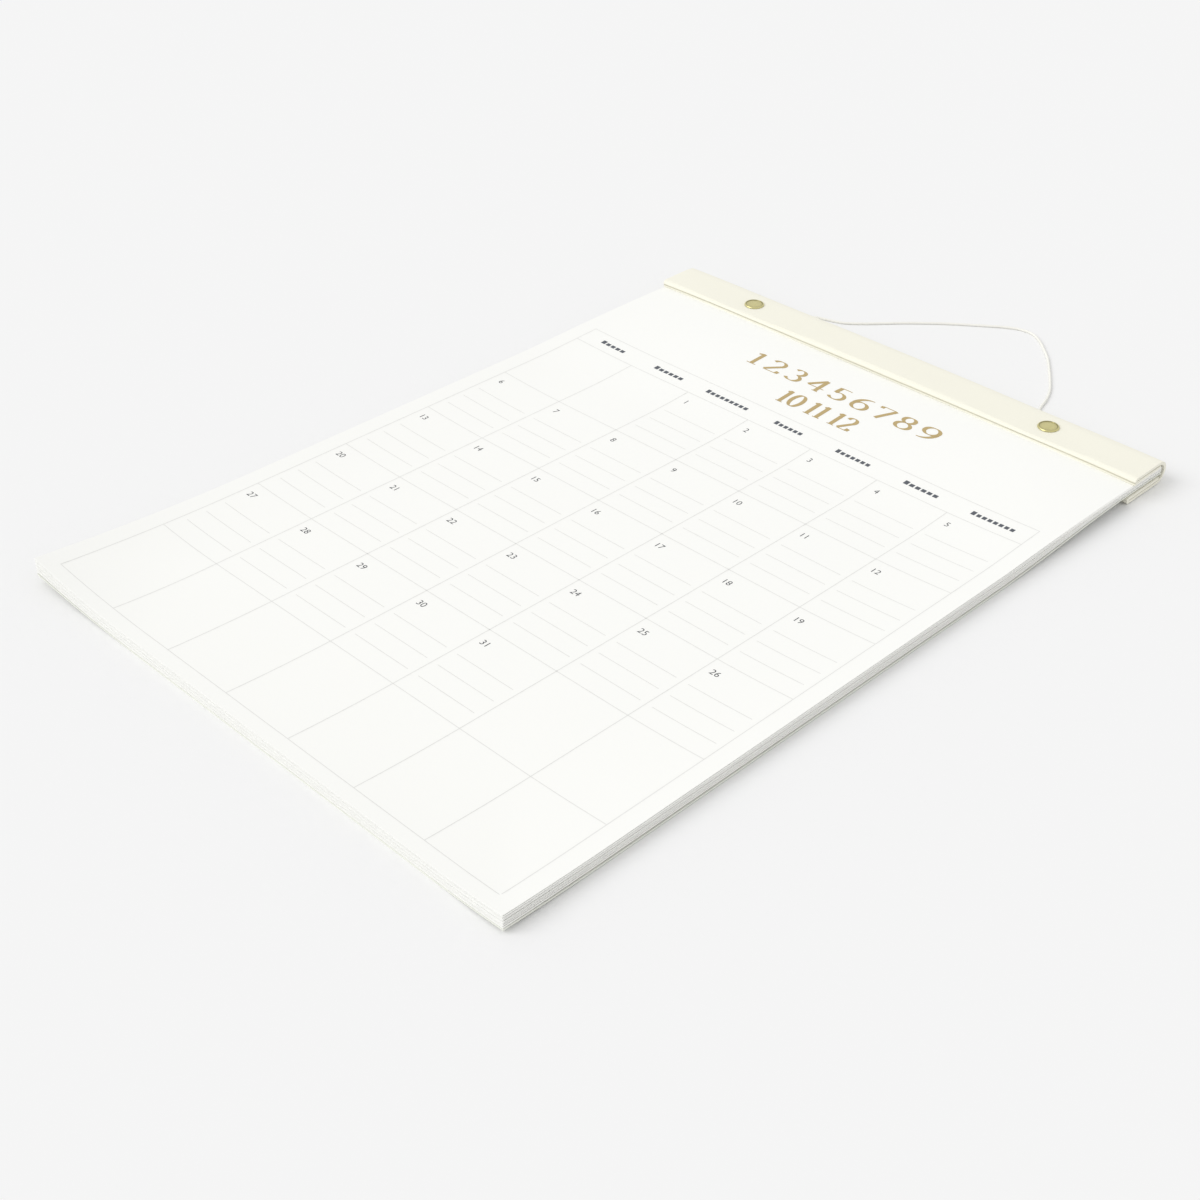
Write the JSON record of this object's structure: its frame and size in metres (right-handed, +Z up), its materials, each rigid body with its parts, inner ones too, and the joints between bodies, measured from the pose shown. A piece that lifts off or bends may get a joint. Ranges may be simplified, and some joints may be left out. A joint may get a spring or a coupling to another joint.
{
  "type": "wall calendar",
  "caption": "Monthly wall calendar: a pad of large sheets on a backing card, clamped in a folded cloth strip by brass rivets, with a hanging cord.",
  "frame": {"origin": "on the table, under the middle of the calendar's outline without its cord", "axes": "+X to the right across the sheets, +Y up the sheets to the hanging strip, +Z up off the table, out of the printed face"},
  "size_m": [0.298, 0.5035, 0.0132],
  "materials": {
    "paper": "uncoated white paper",
    "card": "white board",
    "cloth": "cream cotton cloth, hemmed",
    "brass": "brass plated, lightly polished",
    "cord": "cream twisted cotton cord",
    "grey_ink": "fine grey printing ink",
    "dark_ink": "dark grey printing ink",
    "gold_ink": "gold printing ink"
  },
  "bodies": {
    "root": {"backing_card": "card", "sheet_pad": "paper", "hanging_strip": "cloth", "rivet_cap_left": "brass", "rivet_cap_right": "brass", "rivet_socket_left": "brass", "rivet_socket_right": "brass", "cord_eye_left": "cord", "cord_eye_right": "cord", "hanging_cord": "cord", "printed_grid": "grey_ink", "printed_heading_1": "dark_ink", "printed_heading_2": "dark_ink", "printed_heading_3": "dark_ink", "printed_heading_4": "dark_ink", "printed_heading_5": "dark_ink", "printed_heading_6": "dark_ink", "printed_heading_7": "dark_ink", "printed_title_upper": "gold_ink", "printed_title_lower": "gold_ink"}
  },
  "joints": []
}
